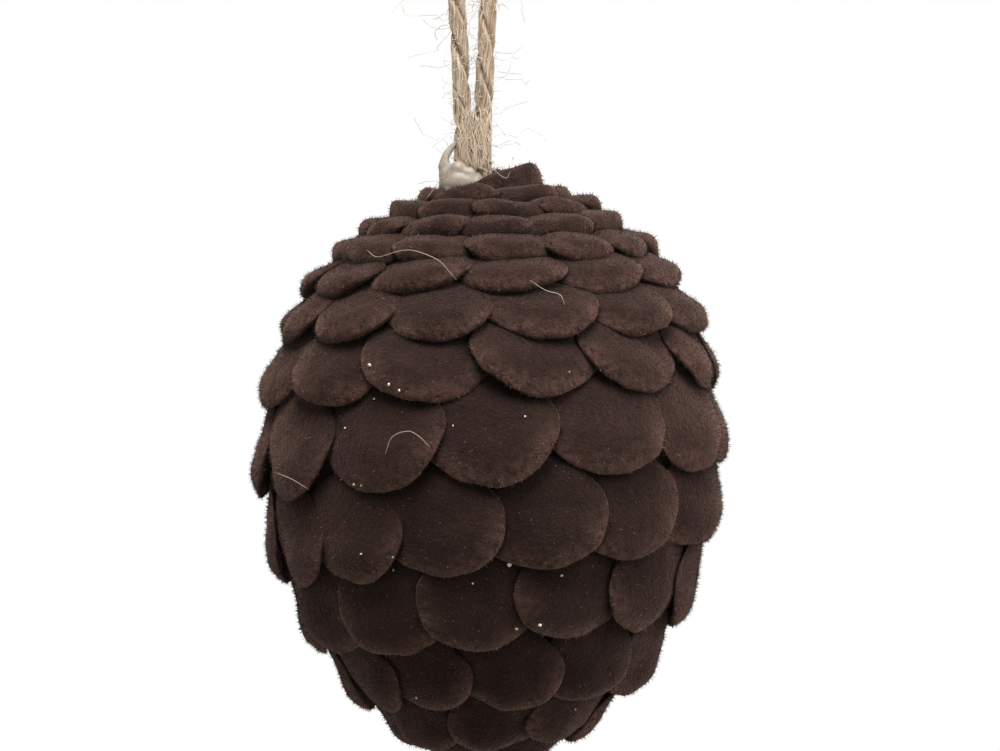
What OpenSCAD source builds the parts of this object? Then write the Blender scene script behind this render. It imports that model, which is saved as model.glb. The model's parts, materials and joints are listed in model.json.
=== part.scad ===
// Flocked pine cone ornament on a jute hanging loop.
// An egg of foam carries rows of round-ended scales, laid from the bottom up, so that each row
// covers the roots of the row below it. A blob of hot-melt glue holds a loop of jute twine on the crown.
// The origin is the hanging point, inside the top bend of the loop. +Z is up and -Y is the front.

/* [Foam core] */
// Diameter of the foam egg at its widest
core_w = 73; // [62:0.5:84]
// Height of the egg above its widest circle
core_top = 43; // [38:0.5:46]
// Depth of the egg below its widest circle
core_bottom = 52; // [44:0.5:60]
// How far the egg tapers to its crown: 1 is a plain ellipse, more is more pointed
crown_taper = 1.1; // [1:0.05:1.3]
// How far the egg tapers to its bottom
foot_taper = 1.4; // [1:0.05:1.5]

/* [Scales] */
// Thickness of a scale with its flock, where it shows
scale_t = 2.1; // [1.2:0.1:2.2]
// Thickness of a scale at its covered root, as a share of that
root_t = 0.18; // [0.16:0.02:0.3]
// How far a scale's tip turns back in towards the cone
tip_curl = 0.5; // [0:0.1:0.8]
// Width of a scale's root as a share of its full width
root_share = 0.5; // [0.35:0.05:0.8]
// Clear space between a scale's tip and the scale under it in the next row down
row_gap = 0.4; // [0.4:0.1:1]
// Clear space between neighbours in a row where one lies over the other
side_gap = 0.4; // [0.3:0.05:0.6]
// Clear space between a scale's root and the foam
root_gap = 0.15; // [0.1:0.05:0.4]
// How much fuller the cone's right shoulder is, where its scales stand off the foam
shoulder = 1.6; // [0:0.2:2]
// How far a scale may sit off its even place round the row, in degrees
scatter_turn = 0.8; // [0:0.2:2]
// How far a scale may sit above or below its row, in degrees along the egg
scatter_drop = 0.3; // [0:0.1:0.6]

/* [Crown] */
// Distance of the loop to the left of the cone's axis
loop_off = 3.1; // [2.5:0.1:3.5]
// Diameter of the glue blob's bigger lump
glue_d = 7.2; // [6.8:0.2:8.4]
// Diameter of the lump round the loop's right leg, as a share of the bigger one's
glue_side = 0.8; // [0.75:0.05:0.9]
// How much lower that lump sits
glue_sag = 1; // [0.5:0.1:1.2]
// Depth to which the twine's two ends run into the glue
glue_grip = 4.5; // [3:0.5:5]
// Clear space between the glue and the scale that it sits on
glue_gap = 0.2; // [0.1:0.05:0.4]
// Clear space round the twine in the glue
twine_gap = 0.05; // [0.02:0.01:0.1]

/* [Hanging loop] */
// Thickness of the jute twine
twine_d = 3; // [2:0.2:4]
// Height of the hanging point above the glue
loop_h = 72; // [70:1:90]
// Clear space between the loop's two legs where they leave the glue
leg_gap = 0.2; // [0.1:0.1:0.6]

/* [Hidden] */
flock = [0.16, 0.10, 0.085];
core_flock = [0.09, 0.06, 0.05];
glue = [0.88, 0.84, 0.78];
jute = [0.72, 0.60, 0.46];

// Rows from the crown down: where the tips end, in degrees down the egg from its top,
// the width of a scale, the stretch of the egg that it covers, how many there are,
// where the first one sits, in degrees round from the front, the step from one to the next,
// which side lies over, and how many degrees higher the row hangs on the right
rows = [
    [ 15, 13,  7.8,  2,  50, 105,      1, 0],
    [ 22, 12, 7.5, 6,  30,  60,      1, 0],
    [ 29, 11.5, 8.0, 9,  15,  40,     -1, 0],
    [ 37, 12,  8.5, 11,   0, 360 / 11, 1, 0],
    [ 45, 13.5, 9.5, 12,  7,  30,     -1, 0],
    [ 54, 17.5, 11.0, 11, 6, 360 / 11, 1, 0.5],
    [ 65, 18.5, 13.5, 12, 15,  30,     1, 1],
    [ 78, 21.5, 16.5, 12, 13,  30,    -1, 2],
    [ 95, 23.5, 19.0, 12,   0,  30,      1, 3],
    [110, 21.5, 19.0, 14, -14, 360 / 14, 1, 4],
    [125, 20.5, 19.0, 13,  -4, 360 / 13, -1, 3],
    [140, 19, 17.0, 11,   5, 360 / 11, 1, 2],
    [154, 17, 15.0,  8,   4,  45,     -1, 1],
    [167, 13, 11.8,  5,  30,  72,      1, 0]];
// Width of the round scale that closes the bottom, and how far its edge bulges
tip_w = 10;
tip_edge = 0.4;

// Half the distance between the twine's legs where they leave the glue
leg_x = (twine_d + leg_gap) / 2;
// Height of the middle of the glue's bigger lump, which sinks in round the loop's foot
glue_sink = 1.3;
blob_z = -loop_h - glue_sink;

// Half of the twine's middle line, from its end in the glue up to the top bend:
// how far it has spread from where it leaves the glue, and its height
leg = [[0, blob_z + glue_d / 2 - glue_grip], [0, -loop_h + 2], [0.1, -65], [0.3, -59], [0.6, -52],
       [1, -45], [1.6, -38], [2.3, -31], [3, -24], [3.7, -17], [4.3, -10.5], [4.5, -4.6],
       [3.7, -1.5], [1.5, 0.7]];
route = concat([for (p = leg) [-leg_x - p[0], p[1]]], [[0, twine_d / 2]],
               [for (k = [len(leg) - 1:-1:0]) [leg_x + leg[k][0], leg[k][1]]]);
sides = 8;
// The way along the route at point k, and the rings of points round it
function way(k) = let(d = route[min(k + 1, len(route) - 1)] - route[max(k - 1, 0)]) d / norm(d);
tube_points = [for (k = [0:len(route) - 1], j = [0:sides - 1])
    let(q = j * 360 / sides, out = twine_d / 2 * cos(q))
    [route[k][0] - way(k)[1] * out, twine_d / 2 * sin(q), route[k][1] + way(k)[0] * out]];
tube_faces = concat(
    [[for (j = [sides - 1:-1:0]) j], [for (j = [0:sides - 1]) j + (len(route) - 1) * sides]],
    [for (k = [0:len(route) - 2], j = [0:sides - 1]) let(a = k * sides, b = (j + 1) % sides) each [
        [a + j, a + b, a + sides + b], [a + j, a + sides + b, a + sides + j]]]);

// The egg's half height and taper on the side of its widest circle where angle a lies
function half_h(a) = a < 90 ? core_top : core_bottom;
function taper(a) = a < 90 ? crown_taper : foot_taper;
// Radius and height of the egg at angle a down from its top
function egg(a) = [core_w / 2 * pow(sin(a), taper(a)), half_h(a) * cos(a)];
// Step along the egg's surface from half a degree before angle a to half a degree after it
function stride(a) = (egg(min(a + 0.5, 180)) - egg(max(a - 0.5, 0))) / (min(a + 0.5, 180) - max(a - 0.5, 0));
// Distance along the egg's surface for each degree at angle a
function per_degree(a) = norm(stride(a));
// Angle down the egg after going on by a distance along its surface
function onward(a, dist) = a + dist / per_degree(a + dist / per_degree(a) / 2);
// The way out of the egg's surface at angle a
function outward(a) = [-stride(a)[1], stride(a)[0]] / per_degree(a);

function tip_angle(n) = rows[n][0];
function width(n) = rows[n][1];
function reach(n) = rows[n][2];
function count(n) = rows[n][3];
function root_angle(n) = onward(tip_angle(n), -reach(n));
// Distance along the egg between a row's roots and the next row's
function root_pitch(n) = let(m = min(n, len(rows) - 2), a = root_angle(m), b = root_angle(m + 1))
    (b - a) * per_degree((a + b) / 2);
// Thickness of a scale at a distance from its root, as a share of its full thickness
function fullness(n, along) =
    let(share = max(0, min(1, (along / reach(n) - thin_to) / (full_from - thin_to))))
    root_t + (1 - root_t) * share * share * (3 - 2 * share);
// Thickness of the row below, where a row's tips lie over it
function covered_t(n) = crest_t * scale_t * fullness(min(n + 1, len(rows) - 1), reach(n) - root_pitch(n));
// Rise of a row for each mm down the egg, which lets the rows below pass under it
function rise(n) = let(own = (covered_t(n) + tip_curl + row_gap) / root_pitch(n))
    n == len(rows) - 1 ? own : max(own, rise(n + 1));
// How far the tip has turned in at a distance from the root
function curl(n, along) = tip_curl * pow(max(0, (along - broad_at(n)) / (reach(n) - broad_at(n))), 2);
// How far round from a scale's middle a point lies towards the side that its neighbour lies over,
// as a share of the step from one scale to the next
function under_side(n, turned) = -rows[n][6] * turned / (rows[n][5] - 2 * scatter_turn);
// Where on that side the neighbour begins
function lap_from(n) = 1 - width(n) / (2 * rows[n][5] * PI / 180 * broad_r(n));
// Share of its thickness that a scale keeps at an angle round from its middle: its soft covered
// side is pressed thin
function pressed(n, turned) =
    let(share = max(0, min(1, 1 + (under_side(n, turned) - lap_from(n)) / press_w)))
    1 - (1 - press_t) * share * share * (3 - 2 * share);
// Lift of a scale there: one side lies over its neighbour, the other under
function side_lift(n, turned, along) =
    -(press_t * crest_t * scale_t * fullness(n, along) + side_gap) / 2
        * max(-1, min(1, under_side(n, turned) / lap_from(n)));

// Extra lift of every scale at angle a down the egg and at an angle round from the front
function shoulder_lift(a, round) =
    shoulder * pow(max(0, sin(round)), 2) * pow(sin(180 * min(a / shoulder_end, 1)), 2);

// Points round a scale's outline, and round the ridge of its cushioned top
rim_n = 16;
ridge_n = 8;
// Outline of the hollow side and of the ridge, as shares of the full outline
under_f = 0.93;
ridge_f = 0.64;
// Heights of the hollow's middle, the shoulder and the middle of the top, as shares of the thickness
hollow_t = 0.35;
shoulder_t = 0.48;
crest_t = 1.15;
// Thickness of a scale where its neighbour presses on it, as a share of its full thickness, and
// the stretch over which it thins, as a share of the step from one scale to the next
press_t = 0.4;
press_w = 0.3;
// How many degrees down the egg the fuller shoulder ends
shoulder_end = 82;
// Where a scale's covered, thin part ends and where it has its full thickness, as shares of its length
thin_to = 0.42;
full_from = 0.75;

// Where a scale is widest, as a share of its length from its root, unless its tip is a full half circle
broad_share = 0.46;
// Distance from a scale's root to where it is widest
function broad_at(n) = max(reach(n) - width(n) / 2, broad_share * reach(n));
// Lift of a row's hollow side off the egg at a distance down from its roots
function row_lift(n, along) = root_gap + rise(n) * along;
// Radius of the row round the cone's axis where its scales are widest
function broad_r(n) = let(a = onward(root_angle(n), broad_at(n)))
    egg(a)[0] + row_lift(n, broad_at(n)) * outward(a)[0];

// A point of a scale, [along, across], at angle q round it from the tip, at share f of its outline
function plan(n, q, f) =
    let(back = broad_at(n), ahead = cos(q) > 0 ? reach(n) - back : back,
        narrow = cos(q) > 0 ? 1 : 1 - (1 - root_share) * pow(cos(q), 2))
    [back + ahead * cos(q) * f, width(n) / 2 * narrow * sin(q) * f];

// A point of scale i in row n, from its place on the plan and its share of the scale's thickness
function on_egg(n, i, p, t) =
    let(drop = rands(0, 2 * scatter_drop, count(n), 11 + n)[i],
        turn = rows[n][4] + i * rows[n][5] + rands(-scatter_turn, scatter_turn, count(n), 71 + n)[i],
        along = p[0] + drop * per_degree(root_angle(n)),
        a = onward(root_angle(n) - rows[n][7] * sin(turn), along),
        mid_r = egg(a)[0] + row_lift(n, along) * outward(a)[0],
        across = p[1] / (p[0] < broad_at(n) ? max(mid_r, broad_r(n)) : mid_r) * 180 / PI,
        lift = row_lift(n, along) - curl(n, p[0]) + side_lift(n, across, p[0]) + shoulder_lift(a, turn + across),
        spot = egg(a) + (lift + t * scale_t * fullness(n, p[0]) * pressed(n, across)) * outward(a))
    [spot[0] * sin(turn + across), -spot[0] * cos(turn + across), spot[1]];

function scale_points(n, i) = concat(
    [on_egg(n, i, plan(n, 0, 0), hollow_t)],
    [for (j = [0:rim_n - 1]) on_egg(n, i, plan(n, j * 360 / rim_n, under_f), 0)],
    [for (j = [0:rim_n - 1]) on_egg(n, i, plan(n, j * 360 / rim_n, 1), shoulder_t)],
    [for (j = [0:ridge_n - 1]) on_egg(n, i, plan(n, j * 360 / ridge_n, ridge_f), 1)],
    [on_egg(n, i, plan(n, 0, 0), crest_t)]);

// Faces of a scale whose points start at k: hollow side, edge, shoulder and top
function scale_faces(k) =
    let(low = k + 1, high = low + rim_n, ridge = high + rim_n, top = ridge + ridge_n)
    concat(
        [for (j = [0:rim_n - 1]) [k, low + (j + 1) % rim_n, low + j]],
        [for (j = [0:rim_n - 1]) each [[low + j, low + (j + 1) % rim_n, high + (j + 1) % rim_n],
                                       [low + j, high + (j + 1) % rim_n, high + j]]],
        [for (j = [0:ridge_n - 1]) each [
            [high + 2 * j, high + 2 * j + 1, ridge + j],
            [high + 2 * j + 1, ridge + (j + 1) % ridge_n, ridge + j],
            [high + 2 * j + 1, high + (2 * j + 2) % rim_n, ridge + (j + 1) % ridge_n]]],
        [for (j = [0:ridge_n - 1]) [ridge + j, ridge + (j + 1) % ridge_n, top]]);

points_each = 2 + 2 * rim_n + ridge_n;

module scale_row(n) {
    color(flock)
        polyhedron([for (i = [0:count(n) - 1]) each scale_points(n, i)],
                   [for (i = [0:count(n) - 1]) each scale_faces(i * points_each)]);
}

module foam_core() {
    color(core_flock) rotate_extrude($fn = 64)
        polygon([for (a = [0:6:180]) egg(a)]);
}

// The closing scale: a disc that follows the egg, with a rounded edge
module tip_scale() {
    far = 180 - asin(pow(tip_w / core_w, 1 / foot_taper));
    under = [for (a = [180, (180 + far) / 2, far]) egg(a) + root_gap * outward(a)];
    face = [for (a = [far, (180 + far) / 2, 180]) egg(a) + (root_gap + scale_t) * outward(a)];
    edge = under[2] + shoulder_t * scale_t * outward(far) + [tip_edge, 0];
    color(flock) rotate_extrude($fn = 48) polygon(concat(under, [edge], face));
}

// The glue's bigger lump sits on the outer face of a scale in the second row, near its root.
// This is the lump's middle, out from the cone's axis and up from the egg's widest circle.
glue_row = 1;
glue_along = 0.12;
blob_at = let(n = glue_row, along = glue_along * reach(n), a = onward(root_angle(n), along),
              out = outward(a), lean = atan(rise(n)),
              face = egg(a) + (row_lift(n, along) + crest_t * scale_t * fullness(n, along)) * out)
    face + (glue_d / 2 + glue_gap) * [out[0] * cos(lean) - out[1] * sin(lean),
                                      out[1] * cos(lean) + out[0] * sin(lean)];

// Hangs the cone below the glue
module on_cone() {
    translate([loop_off, 0, blob_z - blob_at[1]]) children();
}

module glue_blob() {
    color(glue) difference() {
        union() {
            translate([loop_off - blob_at[0], 0, blob_z]) sphere(d = glue_d, $fn = 48);
            translate([leg_x, 0, blob_z - glue_sag]) sphere(d = glue_side * glue_d, $fn = 48);
        }
        for (x = [-leg_x, leg_x]) translate([x, 0, blob_z + glue_d / 2 - glue_grip])
            cylinder(glue_d, d = twine_d + 2 * twine_gap, $fn = 32);
    }
}

module twine_loop() {
    color(jute) polyhedron(tube_points, tube_faces);
}

on_cone() foam_core();
on_cone() scale_row(0);  // scale_row_01
on_cone() scale_row(1);  // scale_row_02
on_cone() scale_row(2);  // scale_row_03
on_cone() scale_row(3);  // scale_row_04
on_cone() scale_row(4);  // scale_row_05
on_cone() scale_row(5);  // scale_row_06
on_cone() scale_row(6);  // scale_row_07
on_cone() scale_row(7);  // scale_row_08
on_cone() scale_row(8);  // scale_row_09
on_cone() scale_row(9);  // scale_row_10
on_cone() scale_row(10);  // scale_row_11
on_cone() scale_row(11);  // scale_row_12
on_cone() scale_row(12);  // scale_row_13
on_cone() scale_row(13);  // scale_row_14
on_cone() tip_scale();
glue_blob();
twine_loop();
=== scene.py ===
"""A flocked pine cone ornament that hangs on a loop of jute twine.

The scales are softened copies of the solid ones with flock grown over them. The twine is two plies of
fine strands with loose hairs on it. The glue, the crumbs and the fallen hairs lie where they are seen.
Everything is in metres in the solid model's frame: the origin is the hanging point, +Z is up and -Y
is the front.
"""

import json
import math
import random

import bmesh
import bpy
import numpy as np
from mathutils import Matrix, Vector, noise
from mathutils.bvhtree import BVHTree

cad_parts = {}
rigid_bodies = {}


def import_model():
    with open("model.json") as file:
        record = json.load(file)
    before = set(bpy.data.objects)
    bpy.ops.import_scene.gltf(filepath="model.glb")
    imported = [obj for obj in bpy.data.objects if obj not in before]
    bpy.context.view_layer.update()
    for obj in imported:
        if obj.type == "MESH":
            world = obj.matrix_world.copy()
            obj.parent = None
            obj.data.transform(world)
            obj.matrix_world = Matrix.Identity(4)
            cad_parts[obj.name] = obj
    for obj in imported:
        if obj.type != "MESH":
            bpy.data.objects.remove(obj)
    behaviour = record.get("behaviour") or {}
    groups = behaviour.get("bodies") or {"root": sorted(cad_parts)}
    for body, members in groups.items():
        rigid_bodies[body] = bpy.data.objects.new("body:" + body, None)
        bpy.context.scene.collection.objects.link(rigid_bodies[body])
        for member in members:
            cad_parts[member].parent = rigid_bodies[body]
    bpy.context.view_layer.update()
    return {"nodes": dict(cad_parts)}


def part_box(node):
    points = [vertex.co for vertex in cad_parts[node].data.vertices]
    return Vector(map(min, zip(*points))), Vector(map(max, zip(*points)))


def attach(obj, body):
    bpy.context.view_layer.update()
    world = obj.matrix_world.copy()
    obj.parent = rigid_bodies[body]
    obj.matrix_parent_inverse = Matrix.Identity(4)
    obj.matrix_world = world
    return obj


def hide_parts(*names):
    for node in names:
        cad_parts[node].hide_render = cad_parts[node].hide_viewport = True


for left_over in list(bpy.data.objects):
    bpy.data.objects.remove(left_over)
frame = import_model()

# Without a seed of its own, vector noise comes out differently in each run
noise.seed_set(5)

MM = 0.001
ROWS = sorted(name for name in frame["nodes"] if name.startswith("scale_row"))

# The cone's axis stands to the right of the loop, and its widest circle lies below the hanging point
CORE_BOTTOM = 52 * MM
CONE_X = sum(corner.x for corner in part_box("foam_core")) / 2
CONE_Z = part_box("foam_core")[0].z + CORE_BOTTOM

# The picture shows this much across at the cone's axis, about this middle
SEEN_W = 168.6 * MM
SEEN_MIDDLE = Vector((4.6 * MM, 0, -106.8 * MM))
LENS_MM = 200
FILM_MM = 36


def set_camera():
    """A long lens, level with the cone, straight from the front."""
    camera = bpy.data.objects.new("camera", bpy.data.cameras.new("camera"))
    bpy.context.scene.collection.objects.link(camera)
    camera.data.lens = LENS_MM
    camera.data.sensor_width = FILM_MM
    camera.data.clip_start = 0.01
    camera.location = SEEN_MIDDLE - Vector((0, SEEN_W * LENS_MM / FILM_MM, 0))
    camera.rotation_euler = (math.pi / 2, 0, 0)
    bpy.context.scene.camera = camera
    return camera.location.copy()


eye = set_camera()


class Wire:
    """One output of a node. Arithmetic on it adds Math nodes to its tree."""

    def __init__(self, sheet, socket):
        self.sheet = sheet
        self.socket = socket

    def math(self, operation, *values, clamp=False):
        settings = {"operation": operation, "use_clamp": clamp}
        return self.sheet.node("ShaderNodeMath", settings, dict(enumerate(values)))[0]

    def __add__(self, other):
        return self.math("ADD", self, other)

    def __sub__(self, other):
        return self.math("SUBTRACT", self, other)

    def __rsub__(self, other):
        return self.math("SUBTRACT", other, self)

    def __mul__(self, other):
        return self.math("MULTIPLY", self, other)

    def __pow__(self, other):
        return self.math("POWER", self, other)

    def __gt__(self, other):
        return self.math("GREATER_THAN", self, other)

    __radd__ = __add__

    def between(self, low, high):
        """0 at low and under, 1 at high and over, straight between them."""
        return self.math("MULTIPLY", self - low, 1 / (high - low), clamp=True)


class Sheet:
    """A node tree that is being drawn."""

    def __init__(self, tree):
        self.tree = tree

    def node(self, kind, settings=None, values=None):
        """Adds a node and returns its outputs. Values go by an input's name or number."""
        made = self.tree.nodes.new(kind)
        for name, setting in (settings or {}).items():
            setattr(made, name, setting)
        for key, value in (values or {}).items():
            if isinstance(value, Wire):
                self.tree.links.new(value.socket, made.inputs[key])
            else:
                made.inputs[key].default_value = value
        return [Wire(self, socket) for socket in made.outputs]

    def mix(self, factor, first, second):
        """A colour between two others."""
        return self.node("ShaderNodeMix", {"data_type": "RGBA"}, {0: factor, 6: first, 7: second})[2]

    def attribute(self, name):
        return self.node("ShaderNodeAttribute", {"attribute_name": name})[2]

    def position(self):
        return self.node("ShaderNodeTexCoord")[3]

    def grain(self, place, per_metre, detail=3.0, roughness=0.6):
        """Soft noise from 0 to 1, with spots one over per_metre wide."""
        values = {"Vector": place, "Scale": per_metre, "Detail": detail, "Roughness": roughness}
        return self.node("ShaderNodeTexNoise", None, values)[0]

    def bump(self, height, distance, strength):
        return self.node("ShaderNodeBump", None,
                         {"Height": height, "Distance": distance, "Strength": strength})[0]


def finish_named(name, constants, changing=None):
    """A material on the principled shader. changing(sheet) gives what varies over the surface."""
    material = bpy.data.materials.new(name)
    material.use_nodes = True
    sheet = Sheet(material.node_tree)
    shader = material.node_tree.nodes["Principled BSDF"]
    for socket, value in constants.items():
        shader.inputs[socket].default_value = value
    for socket, wire in (changing(sheet) if changing else {}).items():
        material.node_tree.links.new(wire.socket, shader.inputs[socket])
    material.diffuse_color = constants["Base Color"]
    return material


DARK_PILE = (0.0075, 0.0036, 0.0028, 1)
MID_PILE = (0.0215, 0.0104, 0.0082, 1)
# Painted highlight: the lighter, warmer pile on the rims and the glints of fibre tips.
PAINTED_HIGHLIGHT_PILE = (0.100, 0.053, 0.040, 1)
# Painted shade: the near black of pile shut in between the scales.
PAINTED_SHADE_PILE = (0.0035, 0.0022, 0.0017, 1)
VELVET = {"Base Color": MID_PILE, "Roughness": 0.95, "Specular IOR Level": 0.10, "Sheen Weight": 0.20,
          "Sheen Roughness": 0.45, "Sheen Tint": (0.80, 0.47, 0.36, 1)}
FIBRE_SHEEN = (0.8, 0.6, 0.5, 1)


def velvet_detail(sheet):
    """Short pile in uneven patches: painted shade makes it nearly black deep between scales, and a painted
    highlight makes it lighter and warmer on the rims.
    """
    place = sheet.position()
    grain = sheet.grain(place, 2600, 2)
    clump = sheet.grain(place, 900, 3)
    patch = sheet.grain(place, 170, 2)
    rim = sheet.attribute("rim")
    tone = sheet.attribute("tone")
    shade = (grain * 0.9 + clump * 0.6 + patch * 0.7 + tone * 0.25).between(0.80, 1.65)
    body = sheet.mix(shade, DARK_PILE, MID_PILE)
    near_tip = sheet.attribute("tip").between(0.3, 0.8)
    # Painted sheen: near the tip the rims are made lighter and warmer, where the pile catches the light at a
    # slant.
    edge = rim.between(0.30, 1.0) * near_tip * clump.between(0.25, 0.60) * 0.9
    lit = sheet.mix(edge, body, PAINTED_HIGHLIGHT_PILE)
    # Painted glints: pale specks where fibre tips catch the light.
    lit = sheet.mix(grain.between(0.66, 0.76) * 0.3, lit, PAINTED_HIGHLIGHT_PILE)
    # Painted shade: where neighbouring scales shut a point in, its pile is darkened towards near black.
    return {"Base Color": sheet.mix(sheet.attribute("open").between(0.46, 0.98), PAINTED_SHADE_PILE, lit),
            "Normal": sheet.bump(grain + clump, 0.28 * MM, 0.9)}


def painted_shade_detail(sheet):
    """The same pile deep between the scales, in painted shade."""
    clump = sheet.grain(sheet.position(), 1500, 3)
    return {"Base Color": sheet.mix(clump.between(0.35, 0.7), PAINTED_SHADE_PILE, DARK_PILE),
            "Normal": sheet.bump(clump, 0.25 * MM, 0.7)}


def fibre_finish(name, colour):
    """A needle of flock in one tone. Dark needles also stand for painted shade between scales; the pale ones
    are partly pale fibres and partly a painted sheen where they catch the light on the rims.
    """
    return finish_named(name, {"Base Color": colour, "Roughness": 0.8, "Specular IOR Level": 0.15,
                               "Sheen Weight": 0.10, "Sheen Tint": FIBRE_SHEEN})


velvet = finish_named("velvet_flock", VELVET, velvet_detail)
painted_shade_velvet = finish_named("velvet_in_painted_shade", dict(VELVET, **{"Base Color": PAINTED_SHADE_PILE}), painted_shade_detail)
pile_dark = fibre_finish("pile_dark", (0.0085, 0.0045, 0.0035, 1))
pile_mid = fibre_finish("pile_mid", (0.038, 0.0195, 0.0150, 1))
pile_pale = fibre_finish("pile_pale", (0.155, 0.098, 0.080, 1))

JUTE_DEEP = (0.24, 0.155, 0.085, 1)
JUTE_MID = (0.48, 0.370, 0.260, 1)
JUTE_PALE = (0.68, 0.580, 0.465, 1)


def jute_detail(sheet):
    """Long fine fibres along each strand, and strands of differing tone."""
    along = sheet.node("ShaderNodeAttribute", {"attribute_name": "lay"})[1]
    streak = sheet.grain(along, 1.0, 4, 0.7)
    tone = sheet.attribute("tone")
    light = (streak * 0.9 + tone * 0.5).between(0.35, 1.05)
    body = sheet.mix(light, JUTE_DEEP, JUTE_MID)
    return {"Base Color": sheet.mix(streak.between(0.52, 0.75), body, JUTE_PALE),
            "Normal": sheet.bump(streak, 0.12 * MM, 0.6)}


jute = finish_named("jute_fibre", {"Base Color": JUTE_MID, "Roughness": 0.75, "Specular IOR Level": 0.3,
                                   "Sheen Weight": 0.15, "Sheen Roughness": 0.5}, jute_detail)
stray_hair = finish_named("stray_hair", {"Base Color": (0.44, 0.38, 0.31, 1), "Roughness": 0.6,
                                         "Specular IOR Level": 0.4, "Sheen Weight": 0.1})
jute_hair = finish_named("jute_hair", {"Base Color": (0.70, 0.61, 0.50, 1), "Roughness": 0.6,
                                       "Specular IOR Level": 0.4, "Sheen Weight": 0.2})
fallen_hair = finish_named("fallen_hair", {"Base Color": (0.29, 0.235, 0.19, 1), "Roughness": 0.7,
                                           "Specular IOR Level": 0.3, "Sheen Weight": 0.1})


GLUE_DEEP = (0.30, 0.255, 0.198, 1)
GLUE_MID = (0.40, 0.345, 0.275, 1)
GLUE_PALE = (0.58, 0.505, 0.405, 1)
GLUE_DUST = (0.20, 0.14, 0.09, 1)


def glue_detail(sheet):
    """Cloudy streaks and specks of caught dust."""
    place = sheet.position()
    cloud = sheet.grain(place, 420, 3)
    speck = sheet.grain(place, 2300, 1).between(0.70, 0.76)
    body = sheet.mix(cloud.between(0.3, 0.7), GLUE_DEEP, GLUE_PALE)
    return {"Base Color": sheet.mix(speck * 0.7, body, GLUE_DUST),
            "Roughness": 0.34 + cloud * 0.25,
            "Normal": sheet.bump(cloud, 0.2 * MM, 0.25)}


glue = finish_named("hot_glue", {"Base Color": GLUE_MID, "IOR": 1.48, "Transmission Weight": 0.45,
                                 "Subsurface Weight": 0.4, "Subsurface Scale": 0.001,
                                 "Specular IOR Level": 0.35}, glue_detail)

CRUMB_DIRT = (0.36, 0.30, 0.23, 1)
CRUMB_MID = (0.55, 0.49, 0.41, 1)
CRUMB_PALE = (0.66, 0.60, 0.51, 1)


def crumb_detail(sheet):
    """Off-white foam, a little dirty."""
    cloud = sheet.grain(sheet.position(), 2600, 2)
    return {"Base Color": sheet.mix(cloud.between(0.35, 0.65), CRUMB_DIRT, CRUMB_PALE)}


crumb = finish_named("foam_crumb", {"Base Color": CRUMB_MID, "Roughness": 0.7,
                                    "Subsurface Weight": 0.2, "Subsurface Scale": 0.0004}, crumb_detail)


def new_piece(name, mesh, material=None):
    """An object at the origin with its place in its mesh."""
    piece = bpy.data.objects.new(name, mesh)
    bpy.context.scene.collection.objects.link(piece)
    if material:
        mesh.materials.clear()
        mesh.materials.append(material)
    return piece


def applied(piece, name):
    """The mesh that a piece's modifiers make, as a plain mesh. The piece goes."""
    graph = bpy.context.evaluated_depsgraph_get()
    mesh = bpy.data.meshes.new_from_object(piece.evaluated_get(graph), depsgraph=graph)
    mesh.name = name
    old = piece.data
    bpy.data.objects.remove(piece)
    if not old.users:
        bpy.data.meshes.remove(old)
    return mesh


def placed(piece, slot, *nodes):
    """Fixes a finished piece to the ornament, in place of the solids that it stands for."""
    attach(piece, "root")
    if nodes:
        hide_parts(*nodes)
    return piece


def points_of(mesh):
    place = np.empty(len(mesh.vertices) * 3, np.float32)
    mesh.vertices.foreach_get("co", place)
    return place.reshape(-1, 3).astype(float)


def normals_of(mesh):
    normals = np.empty(len(mesh.vertices) * 3, np.float32)
    mesh.vertex_normals.foreach_get("vector", normals)
    return normals.reshape(-1, 3).astype(float)


def set_points(mesh, place):
    mesh.vertices.foreach_set("co", place.astype(np.float32).ravel())
    mesh.update()


def values_of(mesh, name):
    values = np.empty(len(mesh.vertices), np.float32)
    mesh.attributes[name].data.foreach_get("value", values)
    return values.astype(float)


def set_values(mesh, name, values):
    layer = mesh.attributes.get(name) or mesh.attributes.new(name, "FLOAT", "POINT")
    layer.data.foreach_set("value", np.asarray(values, np.float32))


def curve_through(spots, steps_in):
    """Points on a smooth curve through the spots. steps_in(gap) tells how many fill a gap."""
    ends = [2 * spots[0] - spots[1]] + list(spots) + [2 * spots[-1] - spots[-2]]
    line = []
    for a, b, c, d in zip(ends, ends[1:], ends[2:], ends[3:]):
        steps = steps_in((c - b).length)
        for k in range(steps):
            t = k / steps
            line.append(0.5 * (2 * b + t * (c - a) + t * t * (2 * a - 5 * b + 4 * c - d)
                               + t ** 3 * (3 * b - a - 3 * c + d)))
    return line + [spots[-1]]


def rounds_of(sides):
    """Angles evenly round a ring."""
    return np.linspace(0, 2 * math.pi, sides + 1)[:-1]


# The twine: its route repeats the solid one, from its end in the glue up to the top bend. A leg's
# points are how far out it lies from its foot, and the height
TWINE_D = 3.0 * MM
LOOP_H = 72 * MM
LEG_X = 1.6 * MM
FOOT_Z = -LOOP_H - 2.2 * MM
LEG = [(0, FOOT_Z), (0, -0.070), (0.0001, -0.065), (0.0003, -0.059), (0.0006, -0.052),
       (0.0010, -0.045), (0.0016, -0.038), (0.0023, -0.031), (0.0030, -0.024), (0.0037, -0.017),
       (0.0043, -0.0105), (0.0045, -0.0046), (0.0037, -0.0015), (0.0015, 0.0007)]
STEP = 0.8 * MM
PLIES = 2
PLY_LAY = 16 * MM
PLY_OFF = 0.64 * MM
PLY_DEEP = 0.64 * MM
PLY_WIDE = 1.12 * MM
PLY_CORE = 0.92
PLY_CORE_SIDES = 8
STRANDS = 22
STRAND_R = 0.15 * MM
STRAND_LAY = 10 * MM
STRAND_SIDES = 4
DEPTH_WAY = np.array([0.0, 1.0, 0.0])


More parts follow.
